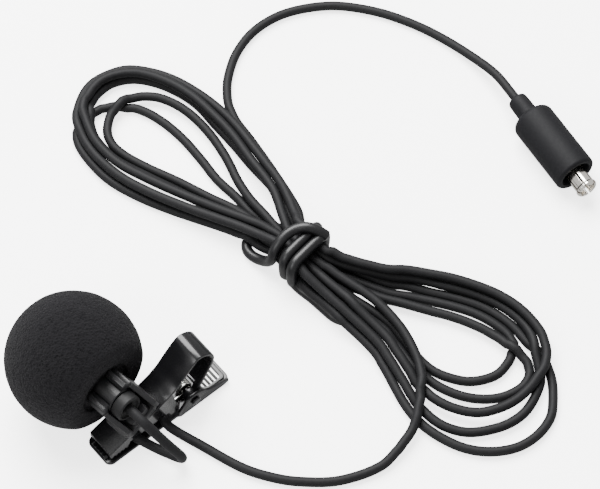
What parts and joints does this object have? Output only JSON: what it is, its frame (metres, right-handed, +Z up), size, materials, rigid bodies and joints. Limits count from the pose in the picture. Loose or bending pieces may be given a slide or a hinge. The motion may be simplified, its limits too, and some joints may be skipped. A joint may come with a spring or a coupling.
{
  "type": "lavalier microphone",
  "caption": "Small clip-on microphone with a foam windscreen on a sprung tie clip, its thin cable tied in a hank and ending in a round plug with a slotted contact sleeve.",
  "frame": {"origin": "middle of the underside of the box round the clip, the microphone and its windscreen, with the cable and plug left out", "axes": "+X along the clip from its jaw to its thumb loop, +Y from the clip towards the windscreen, +Z up from the surface it lies on"},
  "size_m": [0.1421, 0.1372, 0.0301],
  "materials": {
    "enamelled_steel": "gloss",
    "bright_steel": "bright",
    "holder_plastic": "satin",
    "microphone_black": "matte black anodised",
    "foam": "open-cell foam",
    "cable_sheath": "matte",
    "plug_overmould": "matte",
    "rubber": "matte",
    "nickel_contact": "bright nickel",
    "capsule_can": "plain",
    "white_insulator": "plain",
    "circuit_board": "gloss",
    "felt": "felt"
  },
  "bodies": {
    "clip_base": {"clip_lower_plate": "enamelled_steel", "pivot_pin": "bright_steel", "cable_lead": "cable_sheath", "cable_hank": "cable_sheath", "cable_plug_tail": "cable_sheath", "cable_tie": "cable_sheath", "plug_barrel": "plug_overmould", "plug_strain_relief": "plug_overmould", "plug_contact_sleeve": "nickel_contact", "plug_insulator": "white_insulator", "plug_centre_contact": "nickel_contact", "plug_crimp_ferrule": "bright_steel"},
    "lever": {"clip_lever": "enamelled_steel", "torsion_spring": "bright_steel", "holder_rivet": "bright_steel", "rivet_washer": "bright_steel"},
    "microphone": {"mic_holder": "holder_plastic", "mic_housing": "microphone_black", "mic_end_grille": "microphone_black", "dust_felt": "felt", "electret_capsule": "capsule_can", "capsule_gasket": "rubber", "capsule_board": "circuit_board", "rear_boot": "rubber", "cable_anchor": "bright_steel", "cable_entry_core": "rubber", "cable_stub": "cable_sheath"},
    "windscreen": {"windscreen": "foam"}
  },
  "joints": [
    {"name": "lever_pivot", "type": "hinge", "parent": "clip_base", "child": "lever", "pos_m": [0.01126, -0.01238, 0.003], "axis": [0, 1, 0], "range_deg": [0, 25], "stiffness_Nm_per_rad": 0.12, "springref_deg": -20.05, "deforming": ["torsion_spring"]},
    {"name": "holder_swivel", "type": "hinge", "parent": "lever", "child": "microphone", "pos_m": [-0.00184, -0.01238, 0.00812], "axis": [-0.3665, 0, 0.9304], "range_deg": [-12, 3]},
    {"name": "windscreen_slide", "type": "slide", "parent": "microphone", "child": "windscreen", "axis": [-0.0973, 0.9945, -0.0383], "range_m": [0, 0.022]}
  ]
}
